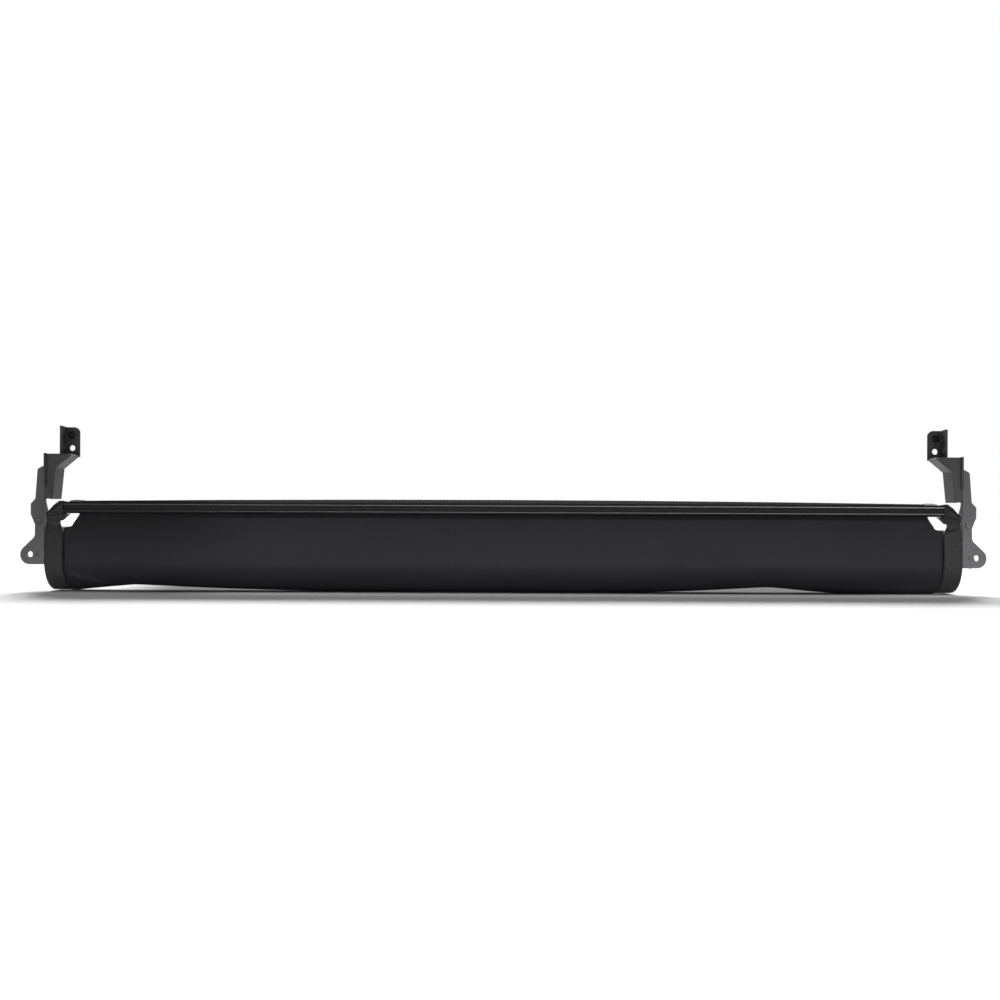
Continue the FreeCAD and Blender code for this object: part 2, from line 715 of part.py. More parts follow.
def torsion_spring(start):
    """Round wire swept along a helix about the X axis."""
    line = DOC.addObject("Part::Helix", "spring_line")
    bind(line, "Pitch", D["spring_pitch"])
    bind(line, "Height", D["spring_length"])
    bind(line, "Radius", D["spring_radius"])
    wire = DOC.addObject("Part::Circle", "spring_section")
    bind(wire, "Radius", D["spring_wire"])
    wire.Placement = Placement(Vector(D["spring_radius"].value, 0, 0), Rotation(Vector(1, 0, 0), 90))
    bind(wire, "Placement.Base.x", D["spring_radius"])
    DOC.recompute()
    swept = DOC.addObject("Part::Sweep", "spring_sweep")
    swept.Sections = [wire]
    swept.Spine = (line, [])
    swept.Solid = True
    swept.Frenet = True
    DOC.recompute()
    swept.Placement = Placement(Vector(start.value, 0, 0), Rotation(Vector(0, 1, 0), 90))
    return swept


# ---------------------------------------------------------------- pull bar


def pull_bar_profile():
    """Extruded bar: two beads along the front, a hem chamber open below and a screw port."""
    body = new_body("bar_shape")
    foot, top, plane = D["bar_foot"], BAR_TOP, D["cover_plane"]
    front, back = plane - 6.2, plane + 6.4
    section = [
        (front + 1.8, foot),
        (front, foot + 1.2),
        (front, foot + 3.6),
        (front + 0.9, foot + 4.4),
        (front + 0.9, top - 3.6),
        (front, top - 2.8),
        (front, top - 1.2),
        (front + 1.4, top),
        (back - 1.6, top),
        (back, top - 1.6),
        (back, foot + 2.2),
        (back - 2.2, foot),
        (plane + 1.1, foot),
        (plane + 1.1, D["hem_height"]),
        (plane - 1.1, D["hem_height"]),
        (plane - 1.1, foot),
    ]
    pad_side(body, -D["bar_half"], D["bar_half"], section)
    chamber = [(plane, D["hem_height"], D["hem_radius"] + 0.5), (SCREW_DEPTH, SCREW_HEIGHT, SCREW_RADIUS)]
    drill_side(body, 0, D["bar_half"] * 2 + 10, chamber)
    return body


CLAMP_GAUGE = 1.5
CLAMP_RIVETS = [(D["bar_half"] + 8.5, D["bar_foot"] - 10.8), (D["bar_half"] + 14.5, D["bar_foot"] - 10.3)]
CLAMP_RIVET_RADIUS = 1.1
SCREW_RADIUS = 1.3
SCREW_HEAD_RADIUS = 2.3
SCREW_DEPTH = D["cover_plane"] + 4.1
SCREW_HEIGHT = D["bar_foot"] + 7.0
SHOE_FACE = D["cover_plane"] - 4.0


def end_shoe(name):
    """Faceted slider: caps the bar, leans out and down over the edge band, and grips its end."""
    body = new_body(name)
    half, foot, top = D["bar_half"], D["bar_foot"], BAR_TOP
    plane = D["cover_plane"]
    back, front = plane + 6.6, plane - 7.0
    arm = [
        (half - 5.0, foot - 0.4),
        (half + 5.0, foot - 9.5),
        (half + 5.0, foot - 15.5),
        (half + 17.0, foot - 12.5),
        (half + 20.5, foot - 5.0),
        (half + 20.0, foot + 0.5),
        (half + 14.5, foot + 6.5),
        (half + 12.0, foot + 9.5),
        (half + 5.0, top + 1.2),
        (half, top + 0.4),
        (half, foot - 0.4),
    ]
    pad_front(body, back - 0.8, SHOE_FACE, arm)
    mitre = [
        (half, top - 0.2),
        (half + 2.0, top + 0.2),
        (half + 20.6, foot - 0.4),
        (half + 19.2, foot - 2.8),
        (half + 9.0, foot - 0.6),
        (half, foot + 3.6),
    ]
    pad_front(body, plane, front, mitre)
    rib = [
        (half - 1.0, foot - 0.6),
        (half + 18.0, foot - 3.4),
        (half + 18.6, foot - 5.4),
        (half + 2.0, foot - 4.0),
    ]
    pad_front(body, plane, front + 1.0, rib)
    foot_pad = [
        (half + 5.0, foot - 15.6),
        (half + 17.2, foot - 12.6),
        (half + 20.5, foot - 5.0),
        (half + 18.6, foot - 6.6),
        (half + 5.4, foot - 9.6),
    ]
    pad_front(body, plane, front + 2.4, foot_pad)
    bevel(body, [(half, top - 0.2), (half + 20.6, foot - 0.4)], front, 1.6)
    drill_side(body, half, 40.0, [(SCREW_DEPTH, SCREW_HEIGHT, SCREW_RADIUS)])
    drill_side(body, half + 24.0, 30.0, [(SCREW_DEPTH, SCREW_HEIGHT, SCREW_HEAD_RADIUS + 0.2)])
    slot = [
        (half + 4.0, foot - 16.5),
        (half + 21.5, foot - 16.5),
        (half + 21.5, foot - 8.0),
        (half + 4.0, foot - 8.0),
    ]
    cut_slot(body, slot, BAND_LEAD_BACK + CLAMP_GAUGE + 6.0, D["band_lead_front"])
    drill_front(body, SHOE_FACE + 1.5, 2.6, [(x, z, CLAMP_RIVET_RADIUS) for x, z in CLAMP_RIVETS])
    return body


def bevel(body, ends, front, size):
    """Chamfers the edges on the front face whose ends lie on a line between two points."""
    DOC.recompute()
    base = body.Tip
    (x1, z1), (x2, z2) = [(Size.of(x).value, Size.of(z).value) for x, z in ends]
    line = Part.LineSegment(Vector(x1, front.value, z1), Vector(x2, front.value, z2)).toShape()
    names = []
    for index, edge in enumerate(base.Shape.Edges, start=1):
        points = [vertex.Point for vertex in edge.Vertexes]
        if len(points) == 2 and all(abs(point.y - front.value) < 0.01 for point in points):
            if edge.distToShape(line)[0] < 0.01 and edge.Length > 15.0:
                names.append(f"Edge{index}")
    if not names:
        raise RuntimeError(f"{body.Name} has no edge to bevel")
    chamfer = body.newObject("PartDesign::Chamfer", "Chamfer")
    chamfer.Base = (base, names)
    chamfer.Size = size
    return chamfer


def cut_slot(body, outline, back, front):
    """An X-Z outline cut away between two depths."""
    sketch = new_sketch(body, "XZ_Plane", (back + front) * -0.5)
    draw_polygon(sketch, outline)
    return cut_pocket(body, sketch, back - front)


def band_clamp(name):
    """Steel plate that clamps the drawn end of the edge band to the shoe's foot from behind."""
    body = new_body(name)
    half, foot = D["bar_half"], D["bar_foot"]
    outline = [
        (half + 6.0, foot - 14.8),
        (half + 17.0, foot - 12.2),
        (half + 17.0, foot - 8.3),
        (half + 6.0, foot - 8.3),
    ]
    holes = [(x, z, CLAMP_RIVET_RADIUS) for x, z in CLAMP_RIVETS]
    pad_front(body, BAND_LEAD_BACK + CLAMP_GAUGE, BAND_LEAD_BACK, outline, holes)
    return body


def clamp_rivets(name):
    """Two small rivets from the shoe's blind holes through band and clamp."""
    rivets = []
    turn = Rotation(Vector(1, 0, 0), 90)
    back = BAND_LEAD_BACK + CLAMP_GAUGE
    shank_end = back + 0.4
    for i, (x, z) in enumerate(CLAMP_RIVETS):
        pieces = []
        for part, radius, start, length in (
            ("shank", CLAMP_RIVET_RADIUS, shank_end, shank_end - (SHOE_FACE + 0.4)),
            ("tail", 1.9, back + 0.8, 0.8),
        ):
            piece = DOC.addObject("Part::Cylinder", f"{name}_{part}{i}")
            bind(piece, "Radius", radius)
            bind(piece, "Height", length)
            piece.Placement = Placement(Vector(x.value, start.value, z.value), turn)
            for axis, size in (("x", x), ("y", start), ("z", z)):
                bind(piece, f"Placement.Base.{axis}", size)
            pieces.append(piece)
        rivets.append(fused(f"{name}_{i}", pieces))
    group = DOC.addObject("Part::Compound", name)
    group.Links = rivets
    return group


def shoe_screw(name):
    """Pan-head screw through the shoe into the bar's screw port."""
    half = D["bar_half"]
    shank = rod(f"{name}_shank", SCREW_RADIUS, half - 11, half + 9, SCREW_DEPTH, SCREW_HEIGHT)
    head = rod(f"{name}_head", SCREW_HEAD_RADIUS, half + 9, half + 11, SCREW_DEPTH, SCREW_HEIGHT)
    return fused(name, [shank, head])


def seal_clip(name):
    """Low pale clip that holds an end of the seal strip to the bar's back."""
    body = new_body(name)
    seal, top = D["seal_half"], BAR_TOP
    outline = [
        (seal + 0.2, top),
        (seal + 16.0, top),
        (seal + 14.0, top + 1.4),
        (seal + 9.0, top + 2.2),
        (seal + 0.2, top + 2.0),
    ]
    pad_front(body, D["cover_plane"] + 5.0, D["cover_plane"] - 0.6, outline)
    return body


def seal_strip():
    """Soft strip along the bar's back edge, higher at its middle than at its ends."""
    body = new_body("seal_shape")
    sketch = new_sketch(body, "XZ_Plane", -(D["cover_plane"] + 4.6))
    half, low, top = D["seal_half"].value, BAR_TOP.value, BAR_TOP.value + D["seal_crown"].value
    end = low + D["seal_end"].value
    corners = [Vector(-half, end, 0), Vector(-half, low, 0), Vector(half, low, 0), Vector(half, end, 0)]
    for a, b in zip(corners, corners[1:]):
        sketch.addGeometry(Part.LineSegment(a, b), False)
    sketch.addGeometry(Part.Arc(corners[3], Vector(0, top, 0), corners[0]), False)
    add_pad(body, sketch, 3.4)
    return body


def build_pull_bar():
    finished(pull_bar_profile(), "pull_bar")
    hem = new_body("hem_shape")
    half = D["cover_half"] - 20
    sketch = new_sketch(hem, "YZ_Plane", -half)
    draw_circle(sketch, D["cover_plane"], D["hem_height"], D["hem_radius"])
    add_pad(hem, sketch, half * 2)
    finished(hem, "hem_rod")
    finished(seal_strip(), "seal_strip")
    both_sides(seal_clip, "seal_clip")
    both_sides(end_shoe, "end_shoe")
    both_sides(shoe_screw, "shoe_screw")
    both_sides(band_clamp, "band_clamp")
    both_sides(clamp_rivets, "clamp_rivets")


# ---------------------------------------------------------------- drawn cover


def fabric_lead():
    """The flat stretch of fabric from the roll's front up into the bar's hem chamber."""
    body = new_body("lead_shape")
    wide, narrow = D["cover_half"], D["lead_half"]
    end = D["hem_height"] - D["hem_radius"] - 0.1
    outline = [
        (-wide, 1.0),
        (wide, 1.0),
        (wide, D["bar_foot"] - 28.0),
        (narrow, D["bar_foot"] - 1.6),
        (narrow, end),
        (-narrow, end),
        (-narrow, D["bar_foot"] - 1.6),
        (-wide, D["bar_foot"] - 28.0),
    ]
    half_gauge = D["cover_gauge"] * 0.5
    pad_front(body, D["cover_plane"] + half_gauge, D["cover_plane"] - half_gauge, outline)
    return body


def band_lead(name):
    """The drawn stretch of an edge band, from its coil's front up to the shoe."""
    body = new_body(name)
    half, foot = D["bar_half"], D["bar_foot"]
    outline = [
        (BAND_INNER + 0.2, 1.0),
        (BAND_OUTER - 0.2, 1.0),
        (BAND_OUTER - 0.2, 22.0),
        (half + 22.0, foot - 16.0),
        (half + 20.5, foot - 8.2),
        (half + 5.2, foot - 8.2),
        (half + 5.2, 36.0),
        (BAND_INNER + 0.2, 32.0),
    ]
    holes = [(x, z, CLAMP_RIVET_RADIUS) for x, z in CLAMP_RIVETS]
    pad_front(body, BAND_LEAD_BACK, D["band_lead_front"], outline, holes)
    return body


def build_drawn_cover():
    finished(fabric_lead(), "fabric_lead")
    both_sides(band_lead, "edge_band_lead")


# ---------------------------------------------------------------- checks and export


def check_document():
    """Stops on any object that failed, and on any sub-part that isn't sound closed solids."""
    DOC.recompute()
    for thing in DOC.Objects:
        bad = [state for state in thing.State if state in ("Invalid", "Error")]
        if bad:
            raise RuntimeError(f"{thing.Name} ({thing.Label}) is {bad}")
    for thing in SUBPARTS:
        shape = thing.Shape
        if shape.isNull() or not shape.isValid() or not shape.Solids or shape.Volume <= 0:
            raise RuntimeError(f"{thing.Label} has no sound shape")


def export():
    os.makedirs("parts", exist_ok=True)
    for thing in SUBPARTS:
        thing.Shape.exportStep(f"parts/{thing.Label}.step")
        print(f"{thing.Label:26s} solids {len(thing.Shape.Solids)}  volume {thing.Shape.Volume:12.1f}")


build_brackets()
build_roller()
build_right_journal()
build_spring()
build_pull_bar()
build_drawn_cover()
check_document()
export()
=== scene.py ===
"""Looks of the retractable tonneau cover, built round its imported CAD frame. Lengths are metres."""

import json
import math

import bpy
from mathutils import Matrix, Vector


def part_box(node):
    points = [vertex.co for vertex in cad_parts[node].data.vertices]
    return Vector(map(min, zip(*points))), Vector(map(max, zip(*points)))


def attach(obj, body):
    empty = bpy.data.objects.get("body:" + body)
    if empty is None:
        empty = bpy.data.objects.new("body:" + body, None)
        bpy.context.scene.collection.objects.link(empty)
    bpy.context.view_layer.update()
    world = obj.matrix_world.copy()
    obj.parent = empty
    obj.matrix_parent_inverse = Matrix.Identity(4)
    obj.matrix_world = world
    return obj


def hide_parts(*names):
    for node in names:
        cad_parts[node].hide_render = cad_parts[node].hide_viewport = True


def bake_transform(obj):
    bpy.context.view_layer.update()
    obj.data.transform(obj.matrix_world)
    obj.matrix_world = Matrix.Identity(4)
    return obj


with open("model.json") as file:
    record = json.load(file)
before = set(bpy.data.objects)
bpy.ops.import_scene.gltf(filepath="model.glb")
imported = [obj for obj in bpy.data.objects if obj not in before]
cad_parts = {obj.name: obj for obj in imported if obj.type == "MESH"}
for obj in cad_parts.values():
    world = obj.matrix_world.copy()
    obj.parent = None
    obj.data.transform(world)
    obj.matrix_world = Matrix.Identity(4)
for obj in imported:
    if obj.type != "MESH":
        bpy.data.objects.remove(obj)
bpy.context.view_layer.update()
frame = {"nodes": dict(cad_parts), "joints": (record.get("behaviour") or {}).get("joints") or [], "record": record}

# Driving places, all read from the frame.
ROLLER = next(joint for joint in frame["joints"] if joint["name"] == "roller")
AXIS_Y, AXIS_Z = ROLLER["pos_m"][1], ROLLER["pos_m"][2]
COIL_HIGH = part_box("right_edge_band_coil")[1]
LEAD_LOW, LEAD_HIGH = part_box("fabric_lead")
BAND_LEAD_LOW, BAND_LEAD_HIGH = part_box("right_edge_band_lead")
ROLL_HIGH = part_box("fabric_roll")[1]
BAR_LOW, BAR_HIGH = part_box("pull_bar")
DRUM_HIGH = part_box("right_band_drum")[1]

COIL_RADIUS = COIL_HIGH[2] - AXIS_Z
DRUM_RADIUS = DRUM_HIGH[2] - AXIS_Z
COVER_HALF = ROLL_HIGH[0]
COVER_GAUGE = LEAD_HIGH[1] - LEAD_LOW[1]
FRONT_RADIUS = AXIS_Y - (LEAD_LOW[1] + LEAD_HIGH[1]) / 2
BAND_GAUGE = BAND_LEAD_HIGH[1] - BAND_LEAD_LOW[1]
TURNS = 4

# How far the cloth closes in on the axis: its outer turn down to the seam, then the next ones per half turn.
OUTER_CLOSING = 0.0006
HALF_TURN_CLOSING = 0.0011

# Play at each side of a sheet, and of the cloth under the outer turn; the calm strip beside each edge band.
SIDE_PLAY, INNER_PLAY = 0.0002, 0.0003
CALM_EDGE = 0.012

# Heights above the axis between which a drawn sheet goes over from the roll to the bar's motion.
BLEND_START, BLEND_END = 0.001, 0.012

# The puckers under the roll: places along X, depth, and the middle and spread of their angle round the roll.
LEFT_PINCH, RIGHT_PINCH = -0.439, 0.314
PINCH_DEPTH = 0.0078
PINCH_ANGLE, PINCH_SPREAD = math.radians(96), math.radians(42)

# The bar's beads, with a painted highlight: height and half width as shares of the bar's height, and the
# highlight's strength. Then the scale of its dots along them, and how much of the bar's depth counts as its front.
BEADS = ((0.785, 0.045, 1.0), (0.235, 0.04, 0.4))
DOT_SCALE = 130.0
BAR_FRONT = 0.35

FLOOR_Z = AXIS_Z - COIL_RADIUS - 0.0012


# ---------------------------------------------------------------- nodes


def new_material(name):
    """An empty node material: returns it with its node tree, its shader and its position output."""
    material = bpy.data.materials.new(name)
    material.use_nodes = True
    tree = material.node_tree
    shader = tree.nodes["Principled BSDF"]
    place = tree.nodes.new("ShaderNodeTexCoord")
    return material, tree, shader, place.outputs["Object"]


def mapped(tree, place, scale):
    """The position, scaled along each axis."""
    mapping = tree.nodes.new("ShaderNodeMapping")
    mapping.inputs["Scale"].default_value = scale
    tree.links.new(place, mapping.inputs["Vector"])
    return mapping.outputs["Vector"]


def split(tree, vector):
    """A vector's X, Y and Z outputs."""
    node = tree.nodes.new("ShaderNodeSeparateXYZ")
    tree.links.new(vector, node.inputs["Vector"])
    return node.outputs


def noise(tree, vector, scale, detail=4.0, roughness=0.6):
    """Fractal noise, about 0 to 1."""
    node = tree.nodes.new("ShaderNodeTexNoise")
    node.inputs["Scale"].default_value = scale
    node.inputs["Detail"].default_value = detail
    node.inputs["Roughness"].default_value = roughness
    tree.links.new(vector, node.inputs["Vector"])
    return node.outputs["Fac"]


def wave(tree, vector, scale, axis):
    """Even waves that follow each other along an axis, 0 to 1."""
    node = tree.nodes.new("ShaderNodeTexWave")
    node.bands_direction = axis
    node.inputs["Scale"].default_value = scale
    tree.links.new(vector, node.inputs["Vector"])
    return node.outputs["Fac"]


def grey(value, tint=0.0):
    """A linear grey, a little blue where tint is positive."""
    return (value * (1 - tint / 2), value * (1 - tint / 2), value * (1 + tint))


def ramp(tree, value, low, high, from_low=0.3, from_high=0.7):
    """Maps a value to a colour between two others."""
    node = tree.nodes.new("ShaderNodeValToRGB")
    stops = ((from_low, low), (from_high, high))
    for element, (position, colour) in zip(node.color_ramp.elements, stops):
        element.position = position
        element.color = (*colour, 1)
    tree.links.new(value, node.inputs["Fac"])
    return node.outputs["Color"]


def span(tree, value, low, high):
    """Maps 0..1 to low..high."""
    node = tree.nodes.new("ShaderNodeMapRange")
    node.inputs["To Min"].default_value = low
    node.inputs["To Max"].default_value = high
    tree.links.new(value, node.inputs["Value"])
    return node.outputs["Result"]


def fade(tree, value, near, far):
    """1 up to a distance, and smoothly down to 0 at a further one."""
    node = tree.nodes.new("ShaderNodeMapRange")
    node.interpolation_type = "SMOOTHSTEP"
    node.inputs["From Min"].default_value = near
    node.inputs["From Max"].default_value = far
    node.inputs["To Min"].default_value = 1.0
    node.inputs["To Max"].default_value = 0.0
    tree.links.new(value, node.inputs["Value"])
    return node.outputs["Result"]


def combine(tree, a, b, operation):
    """One operation on two values, each a number or an output."""
    node = tree.nodes.new("ShaderNodeMath")
    node.operation = operation
    for socket, value in zip(node.inputs, (a, b)):
        if isinstance(value, (int, float)):
            socket.default_value = value
        else:
            tree.links.new(value, socket)
    return node.outputs["Value"]


def apart(tree, value, middle):
    """How far a value is from a middle."""
    return combine(tree, combine(tree, value, middle, "SUBTRACT"), 0, "ABSOLUTE")


def weigh(tree, first, second):
    """The sum of two values, each given with its weight."""
    shares = [combine(tree, value, weight, "MULTIPLY") for value, weight in (first, second)]
    return combine(tree, *shares, "ADD")


def bump(tree, height, strength, distance, normal=None):
    """A normal from a height, on top of another normal if there is one."""
    node = tree.nodes.new("ShaderNodeBump")
    node.inputs["Strength"].default_value = strength
    node.inputs["Distance"].default_value = distance
    tree.links.new(height, node.inputs["Height"])
    if normal is not None:
        tree.links.new(normal, node.inputs["Normal"])
    return node.outputs["Normal"]


def soft_edges(tree, radius):
    """A normal that rounds the mesh's sharp edges."""
    node = tree.nodes.new("ShaderNodeBevel")
    node.samples = 6
    node.inputs["Radius"].default_value = radius
    return node.outputs["Normal"]


def join(tree, shader, colour, roughness, normal):
    """Links the outputs of a look to its shader."""
    for socket, output in (("Base Color", colour), ("Roughness", roughness), ("Normal", normal)):
        tree.links.new(output, shader.inputs[socket])


# ---------------------------------------------------------------- materials


def cover_fabric():
    """Matt black coated cloth: a fine weave that shows through, faint cloudiness, fine specks."""
    material, tree, shader, place = new_material("cover_fabric_look")
    threads = 520.0
    weave = combine(tree, wave(tree, place, threads, "X"), wave(tree, place, threads, "Z"), "MULTIPLY")
    grain = noise(tree, place, scale=900.0, detail=2.0)
    height = combine(tree, weave, combine(tree, grain, 1.4, "MULTIPLY"), "ADD")
    cloud = noise(tree, mapped(tree, place, (1.0, 2.0, 2.5)), scale=9.0, detail=5.0)
    speck = noise(tree, place, scale=420.0, detail=3.0, roughness=0.8)
    tone = weigh(tree, (cloud, 0.55), (speck, 0.45))
    colour = ramp(tree, tone, grey(0.0105, 0.1), grey(0.0165, 0.1), 0.35, 0.65)
    normal = bump(tree, height, strength=0.35, distance=0.0002)
    join(tree, shader, colour, span(tree, cloud, 0.5, 0.62), normal)
    shader.inputs["Specular IOR Level"].default_value = 0.15
    return material


def edge_band():
    """Stiff tape: coarse flecked grain in rows along its length."""
    material, tree, shader, place = new_material("edge_band_look")
    rows = noise(tree, mapped(tree, place, (3.2, 0.6, 0.6)), scale=260.0, roughness=0.75)
    fleck = noise(tree, place, scale=640.0, detail=3.0, roughness=0.8)
    tone = weigh(tree, (rows, 0.6), (fleck, 0.4))
    colour = ramp(tree, tone, grey(0.009), grey(0.034), 0.36, 0.64)
    normal = bump(tree, tone, strength=0.7, distance=0.0004)
    join(tree, shader, colour, span(tree, tone, 0.62, 0.8), normal)
    shader.inputs["Specular IOR Level"].default_value = 0.25
    shader.inputs["Sheen Weight"].default_value = 0.01
    return material


def painted(name, low, high, roughness, edge, grain=0.25):
    """Satin powder coat over metal: orange peel, slight cloudiness, edges rounded by the coat."""
    material, tree, shader, place = new_material(name)
    tint = 0.03
    cloud = noise(tree, place, scale=28.0, detail=6.0)
    peel = noise(tree, place, scale=700.0, detail=2.0)
    colour = ramp(tree, cloud, grey(low, tint), grey(high, tint), 0.32, 0.68)
    normal = bump(tree, peel, grain, 0.0002, soft_edges(tree, edge))
    join(tree, shader, colour, span(tree, cloud, roughness - 0.06, roughness + 0.08), normal)
    shader.inputs["Specular IOR Level"].default_value = 0.5
    return material


def worn_metal(name, colour, roughness, direction=(1.0, 12.0, 12.0)):
    """Plated or ground metal: fine lines, patchy dullness."""
    material, tree, shader, place = new_material(name)
    lines = noise(tree, mapped(tree, place, direction), scale=220.0, detail=5.0, roughness=0.7)
    patch = noise(tree, place, scale=60.0)
    dark = tuple(channel * 0.72 for channel in colour)
    normal = bump(tree, lines, 0.2, 0.0001, soft_edges(tree, 0.0003))
    dullness = span(tree, lines, roughness - 0.1, roughness + 0.15)
    join(tree, shader, ramp(tree, patch, dark, colour), dullness, normal)
    shader.inputs["Metallic"].default_value = 1.0
    return material


def moulded(name, low, high, roughness, edge=0.0004):
    """Moulded plastic: spark-eroded grain, faint flow marks."""
    material, tree, shader, place = new_material(name)
    flow = noise(tree, mapped(tree, place, (0.5, 1.0, 2.0)), scale=70.0, detail=5.0)
    grain = noise(tree, place, scale=1400.0, detail=2.0)
    colour = ramp(tree, flow, grey(low), grey(high))
    normal = bump(tree, grain, 0.15, 0.0001, soft_edges(tree, edge))
    join(tree, shader, colour, span(tree, flow, roughness - 0.05, roughness + 0.07), normal)
    return material


def extruded_black():
    """Black anodised extrusion: die lines along X, and beads along the front with a painted highlight in fine
    dots.

    The painted highlight gets brighter to the right by position."""
    material, tree, shader, place = new_material("bar_black_look")
    lines = noise(tree, mapped(tree, place, (0.04, 9.0, 9.0)), scale=240.0, roughness=0.7)
    black = ramp(tree, lines, grey(0.0035, 0.08), grey(0.007, 0.08))
    box = split(tree, tree.nodes.new("ShaderNodeTexCoord").outputs["Generated"])
    beads = None
    for height, half, shine in BEADS:
        inside = combine(tree, half, apart(tree, box["Z"], height), "SUBTRACT")
        crest = combine(tree, combine(tree, inside, shine / half, "MULTIPLY"), 0.0, "MAXIMUM")
        beads = crest if beads is None else combine(tree, beads, crest, "ADD")
    # Painted highlight: bright dots on the front of the beads, brighter to the right by position.
    front = combine(tree, box["Y"], BAR_FRONT, "LESS_THAN")
    dots = span(tree, wave(tree, place, DOT_SCALE, "X"), 0.45, 1.0)
    highlight_dots = combine(tree, dots, span(tree, box["X"], 0.22, 1.0), "MULTIPLY")
    bead_highlight = combine(tree, combine(tree, beads, front, "MULTIPLY"), highlight_dots, "MULTIPLY")
    mix = tree.nodes.new("ShaderNodeMix")
    mix.data_type = "RGBA"
    anodised, highlight_colour = [socket for socket in mix.inputs if socket.type == "RGBA"]
    highlight_colour.default_value = (0.85, 0.85, 0.87, 1)
    tree.links.new(bead_highlight, mix.inputs["Factor"])
    tree.links.new(black, anodised)
    colour = next(socket for socket in mix.outputs if socket.type == "RGBA")
    normal = bump(tree, lines, strength=0.12, distance=0.0001)
    join(tree, shader, colour, span(tree, lines, 0.18, 0.3), normal)
    shader.inputs["Specular IOR Level"].default_value = 0.3
    return material


def ribbed_rubber():
    """Seal strip: close upright ribs along its length, with painted shade in the grooves, and dust specks."""
    material, tree, shader, place = new_material("seal_rubber_look")
    ribs = wave(tree, place, 90.0, "X")
    dust = noise(tree, place, scale=380.0, roughness=0.8)
    # The ribs make the grooves darker and the crests lighter: painted shade and light. The dust specks are the
    # strip's own.
    tone = weigh(tree, (ribs, 0.5), (dust, 0.5))
    tree.links.new(ramp(tree, tone, grey(0.008), grey(0.045)), shader.inputs["Base Color"])
    tree.links.new(bump(tree, tone, strength=0.6, distance=0.0005), shader.inputs["Normal"])
    shader.inputs["Roughness"].default_value = 0.75
    return material


LOOKS = {
    "cover_fabric": cover_fabric(),
    "edge_band": edge_band(),
    "bracket_steel": painted("bracket_steel_look", 0.08, 0.105, roughness=0.46, edge=0.0006),
    "channel_casting": painted("channel_casting_look", 0.036, 0.052, roughness=0.5, edge=0.0011, grain=0.4),
    "zinc_steel": worn_metal("zinc_steel_look", (0.36, 0.36, 0.35), roughness=0.45),
    "shaft_steel": worn_metal("shaft_steel_look", (0.5, 0.5, 0.51), 0.3, (0.6, 30.0, 30.0)),
    "bush_bronze": worn_metal("bush_bronze_look", (0.5, 0.33, 0.15), roughness=0.42),
    "tube_aluminium": worn_metal("tube_aluminium_look", (0.6, 0.61, 0.62), 0.38, (0.1, 14.0, 14.0)),
    "drum_plastic": moulded("drum_plastic_look", 0.012, 0.022, roughness=0.5),
    "bar_black": extruded_black(),
    "shoe_plastic": moulded("shoe_plastic_look", 0.005, 0.01, roughness=0.24, edge=0.0005),
    "seal_rubber": ribbed_rubber(),
    "clip_plastic": moulded("clip_plastic_look", 0.35, 0.48, roughness=0.45),
}
PAINTED_OVER = {"left_carrier_rivet": "bracket_steel", "right_carrier_rivet": "bracket_steel"}


def dress_nodes():
    """Gives every CAD node the look of its material slot; the carrier rivets are painted with the plates."""
    for part in frame["record"]["subparts"]:
        node = frame["nodes"][part["node"]]
        look = PAINTED_OVER.get(part["node"], part["material_slot"])
        node.data.materials.clear()
        node.data.materials.append(LOOKS[look])


# ---------------------------------------------------------------- sheets


def add_object(name, data):
    """A new object in the scene."""
    added = bpy.data.objects.new(name, data)
    bpy.context.scene.collection.objects.link(added)
    return added


def sheet(name, columns, rows, point, look, gauge):
    """Smooth cloth of a gauge, on both sides of a grid of columns by rows points, each from point(i, j)."""
    vertices = [point(i, j) for i in range(columns) for j in range(rows)]
    faces = []
    for i in range(columns - 1):
        for j in range(rows - 1):
            corner = i * rows + j
            faces.append((corner, corner + 1, corner + rows + 1, corner + rows))
    mesh = bpy.data.meshes.new(name)
    mesh.from_pydata(vertices, [], faces)
    mesh.materials.append(LOOKS[look])
    for polygon in mesh.polygons:
        polygon.use_smooth = True
    piece = add_object(name, mesh)
    solidify = piece.modifiers.new("gauge", "SOLIDIFY")
    solidify.thickness = gauge
    solidify.offset = 0
    bpy.context.view_layer.objects.active = piece
    with bpy.context.temp_override(object=piece, active_object=piece, selected_objects=[piece]):
        bpy.ops.object.modifier_apply(modifier=solidify.name)
    return piece


def between(low, high, value):
    """How far a value is on its way from low to high, kept within 0 to 1."""
    return min(max((value - low) / (high - low), 0.0), 1.0)


def smooth(low, high, value):
    """Smooth step from 0 at low to 1 at high."""
    t = between(low, high, value)
    return t * t * (3 - 2 * t)


def bell(value, middle, spread):
    """A bell curve, 1 at its middle."""
    return math.exp(-(((value - middle) / spread) ** 2))


def on_roll(x, radius, angle):
    """A point round the axis. The angle runs from 0 at the front, under the roll, to pi at the back."""
    return (x, AXIS_Y - radius * math.cos(angle), AXIS_Z - radius * math.sin(angle))


def drawn_height(row, fine_rows, rows, top):
    """The height of a row of a drawn stretch: close rows where it leaves the roll, then wider ones."""
    if row <= fine_rows:
        return AXIS_Z + BLEND_END * row / fine_rows
    return AXIS_Z + BLEND_END + (top - AXIS_Z - BLEND_END) * (row - fine_rows) / (rows - fine_rows)


def ripple(x, angle):
    """Loose cloth's slight unevenness: long waves along the roll and finer ones on them."""
    slow = 0.00035 * math.sin(x * 9.3 + 1.1) * math.sin(angle * 1.7 + x * 3.1)
    fine = 0.00015 * math.sin(x * 31.0 + angle * 2.3) * math.sin(angle * 3.0 + 0.6)
    return slow + fine


def pucker(away, left_reach, right_reach):
    """A pucker's depth, 0 to 1, at a signed distance along X: it comes to a soft point."""
    softness, steepness = 0.008, 1.6
    reach = right_reach if away > 0 else left_reach
    gone = math.sqrt(away * away + softness ** 2) - softness
    return max(1 - gone / reach, 0.0) ** steepness


